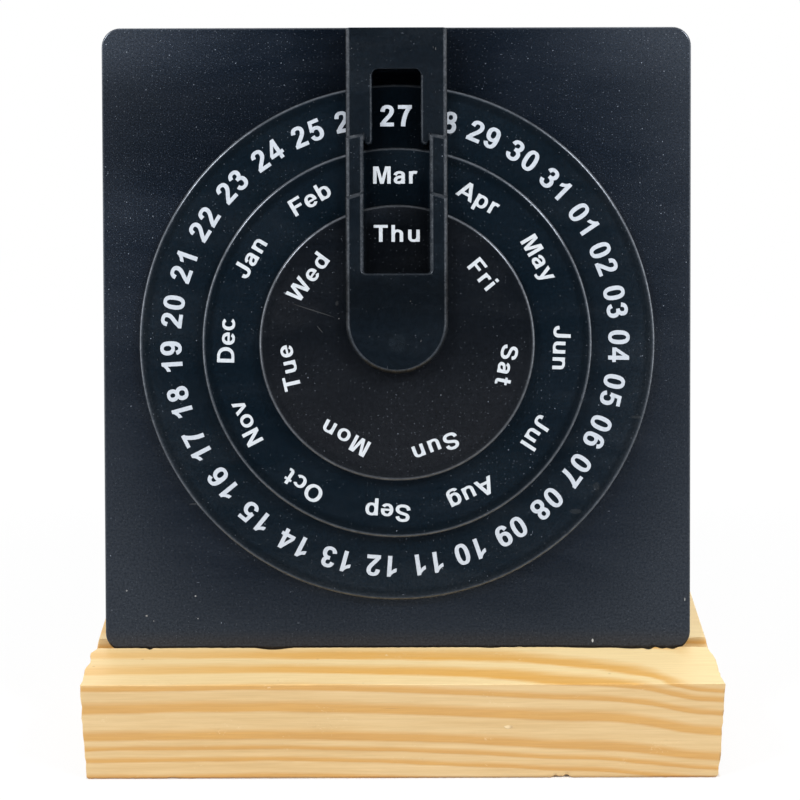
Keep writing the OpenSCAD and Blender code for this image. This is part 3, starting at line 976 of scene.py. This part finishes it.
# chips: corner, place along X, half width, radius of the rounding there
CHIPS = [
    (0, 31.6, 1.0, 1.5), (0, 33.9, 1.1, 1.9), (0, 32.8, 2.0, 0.9), (0, -48.0, 1.6, 0.7),
    (6, -53.6, 0.9, 0.75), (6, -27.5, 5.0, 0.85), (6, 18.5, 3.0, 0.4),
    (6, 40.0, 9.0, 0.5), (6, 48.5, 6.0, 0.85), (6, 52.0, 1.6, 1.15),
    (6, 54.9, 1.6, 0.85), (6, 57.0, 1.8, 1.0),
    (3, -60.0, 1.2, 0.5), (3, 61.5, 1.5, 0.5), (7, -20.0, 2.0, 0.45), (7, 47.0, 1.4, 0.5),
    (2, -12.0, 2.4, 0.9), (1, 22.0, 2.0, 0.9),
]
# into how many parts a side is cut, under the corner where it ends: the front face, the top's front
PARTS = {0: 15, 7: 12}
SPACING = 0.42      # how far apart the sections stand along X


def corner_radius(corner, x):
    _, radius, ragged = SECTION[corner]
    wobble = noise.noise(Vector((x * 0.9, corner * 7.3, 1.7)))
    wobble += 0.6 * noise.noise(Vector((x * 2.7, corner * 5.1, 8.2)))
    radius *= 1 + ragged * 0.8 * wobble
    for at, middle, half, size in CHIPS:
        if at == corner and abs(x - middle) < half:
            share = 0.5 + 0.5 * math.cos(math.pi * (x - middle) / half)
            radius = max(radius, radius + (size - radius) * share)
    return max(radius, 0.04)


def section(x, inset, round_steps=5):
    """Points round the block's section at x, all of it moved inwards by inset, in mm."""
    corners = [Vector(c[0]) for c in SECTION]
    lines = []
    for a, b in zip(corners, corners[1:] + corners[:1]):
        along = (b - a).normalized()
        inward = Vector((-along.y, along.x))
        lines.append((a + inward * inset, along))
    points = []
    for i in range(len(corners)):
        a, b = lines[i - 1]
        parts = PARTS.get(i, 1)
        for k in range(1, parts):
            share = 0.06 + 0.88 * k / parts
            along = (corners[i - 1] + (corners[i] - corners[i - 1]) * share - a).dot(b)
            points.append(a + b * along)
        (p, d), (q, e) = lines[i - 1], lines[i]
        cross = d.x * e.y - d.y * e.x
        t = ((q.x - p.x) * e.y - (q.y - p.y) * e.x) / cross
        corner = p + d * t
        turn = math.acos(max(-1, min(1, d.dot(e))))
        radius = max(0.03, corner_radius(i, x) - inset * 0.5)
        back = radius * math.tan(turn / 2)
        side = 1 if cross > 0 else -1
        centre = corner - d * back + Vector((-d.y, d.x)) * radius * side
        start = corner - d * back - centre
        for k in range(round_steps + 1):
            a = side * turn * k / round_steps
            points.append(centre + Matrix.Rotation(a, 2) @ start)
    return points


def block():
    """The pine block: sections along X, with rounded, uneven ends that are sunk in the middle."""
    end_round, steps = 0.3, 4
    half = block_high.x
    inner = half - end_round
    stations = []
    for k in range(steps):
        a = math.pi / 2 * (1 - k / steps)
        stations.append((-half + end_round * (1 - math.sin(a)), end_round * (1 - math.cos(a))))
    count = round(2 * inner / SPACING)
    stations += [(-inner + 2 * inner * k / count, 0) for k in range(count + 1)]
    stations += [(-x, inset) for x, inset in stations[:steps][::-1]]
    rings, vertices, faces = [], [], []
    for x, inset in stations:
        right = x > 0
        # 1 at the end, 0 from 2.5 mm inside it
        near = max(0.0, 1 - (half - abs(x)) / 2.5)
        row = []
        for p in section(x, inset):
            rough = noise.noise(Vector((p.x * 0.22, p.y * 0.5, 3 if right else 9)))
            rough += 0.5 * noise.noise(Vector((p.x * 0.9, p.y * 1.6, 5 if right else 2)))
            teeth = noise.noise(Vector((p.x * 1.3, p.y * 1.9, 2.5 if right else 6.5)))
            out = between(ENDS, p.x)[right] if p.y > 20 else -0.22 * right
            out -= (0.75 if right else 0.35) * max(0.0, 1 - p.y / 0.9) ** 2
            shift = near * (out - 0.03 - 0.2 * rough - 0.16 * teeth) * math.copysign(1, x)
            row.append(len(vertices))
            vertices.append((x + shift, p.x, p.y))
        rings.append(row)
    # the middle of each end
    for x in (0.1 - half, half - 0.35):
        row = list(range(len(vertices), len(vertices) + len(rings[-1])))
        vertices += [(x, p.x, p.y) for p in section(x, 1.5)]
        rings.insert(0 if x < 0 else len(rings), row)
    size = len(rings[0])
    for a, b in zip(rings, rings[1:]):
        faces += [(a[i], a[(i + 1) % size], b[(i + 1) % size], b[i]) for i in range(size)]
    faces += [tuple(rings[0]), tuple(rings[-1])]
    made = mesh_object("pine_block", vertices, faces, pine_wood)
    weighted(made)
    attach(made, "stand")
    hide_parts("wooden_base")


block()

# --- CAD nodes that keep their shape ---

soften("back_plate", 0.5, plate_plastic, segments=4)
soften("window_arm", 0.13, arm_plastic)
soften("arm_screws", 0.09, zinc_steel)
soften("arm_washers", 0.07, zinc_steel)

# --- Floor, light and camera ---


def seen_directly(s):
    """1 for camera, glossy and transmission rays, 0 for the light that falls on things."""
    return s.most(*[s.field("LightPath", output=f"Is {kind} Ray")
                    for kind in ("Camera", "Glossy", "Transmission")])


def stage_floor():
    """White paper. Its own glow makes it even, except under the object."""
    s = Shader("floor")
    grain = s.noise(s.coords(), 0.004, 3, 0.5)
    s.set(Base_Color=s.mix(grain, (0.88, 0.88, 0.88), (0.91, 0.91, 0.91)), Roughness=0.9)
    share = seen_directly(s) * s.span(s.length(s.coords()), 0.12, 0.45, 0.88, 1.0)
    x, y, _ = s.split(s.coords())
    outside = s.most(abs(x) - block_high.x * MM, abs(y) - block_high.y * MM)
    share = share * s.span(outside, -0.0001, 0.0003)
    glow = s.field("Emission", (1, 1, 1, 1), 1.0)
    s.put(s.out, s.field("MixShader", share, s.surface, glow))
    corners = [(x, y, 0) for x, y in bar(-30, -30, 30, 30)]     # metres
    mesh_object("floor", corners, [(0, 1, 2, 3)], s.material, unit=1)


def dark_card():
    """What a camera and its user take from the reflections: dark, seen by glossy rays alone."""
    s = Shader("dark_card")
    s.set(Base_Color=(0.002, 0.002, 0.003, 1), Roughness=1.0, Specular_IOR_Level=0.0)
    edge = [(82, 0.084), (98, 0.112), (118, 0.15), (133, 0.21), (140, 0.27), (130, 0.325),
            (84, 0.385), (54, 0.45), (30, 0.56)]
    outline = [(x * MM, z) for x, z in edge]
    outline += [(-x * MM - (0.013 if 0.2 < z < 0.4 else 0.005), z) for x, z in edge[::-1]]
    made = mesh_object(
        "dark_card", [(x, -0.365, z) for x, z in outline], [tuple(range(len(outline)))],
        s.material, unit=1,
    )
    made.visible_camera = made.visible_diffuse = made.visible_shadow = False
    made.visible_transmission = False


def softbox(name, azimuth, elevation, distance, size, radiance):
    """A square light that looks at the object. Angles in degrees, lengths in metres."""
    light = bpy.data.lights.new(name, "AREA")
    light.shape, light.size = "SQUARE", size
    light.energy = radiance * math.pi * size * size
    made = add(name, light)
    a, e = math.radians(azimuth), math.radians(elevation)
    aim = Vector((0, 0, 0.08))
    away = Vector((math.sin(a) * math.cos(e), -math.cos(a) * math.cos(e), math.sin(e)))
    made.location = aim + away * distance
    made.rotation_euler = away.to_track_quat("Z", "Y").to_euler()


def world():
    """Even light, a little darker and bluer than the white that is seen directly."""
    made = bpy.data.worlds.new("studio")
    bpy.context.scene.world = made
    s = Nodes(made, "OutputWorld")
    light = s.field("Background", (0.98, 0.99, 1.0, 1), 0.45)
    seen = s.field("Background", (1, 1, 1, 1), 1.0)
    s.put(s.out, s.field("MixShader", seen_directly(s), light, seen))


CAMERA = (-0.58, -323.25, 188.65)         # where it stands, in mm
PITCH, YAW, ROLL = (math.radians(v) for v in (19.4608, 0.0190, 0.1496))      # pitch is down


def camera():
    """The photo's camera, as it was solved from the object's edges."""
    data = bpy.data.cameras.new("camera")
    data.sensor_width, data.lens = 36.0, 74.632
    data.clip_start, data.clip_end = 0.01, 100
    made = add("camera", data)
    stand = Matrix.Translation(Vector(CAMERA) * MM) @ Matrix.Rotation(-YAW, 4, "Z")
    tilt = Matrix.Rotation(math.pi / 2 - PITCH, 4, "X") @ Matrix.Rotation(-ROLL, 4, "Z")
    made.matrix_world = stand @ tilt
    bpy.context.scene.camera = made


stage_floor()
dark_card()
softbox("key_left", -60, 45, 0.85, 0.20, 29.0)
softbox("key_right", 60, 45, 0.85, 0.20, 29.0)
softbox("side_left", -86, 9, 0.8, 0.5, 1.95)
softbox("side_right", 86, 9, 0.8, 0.5, 1.95)
softbox("rear", 180, 50, 0.85, 0.45, 2.6)
world()
camera()
bpy.context.scene.view_settings.view_transform = "Standard"

bpy.context.view_layer.update()
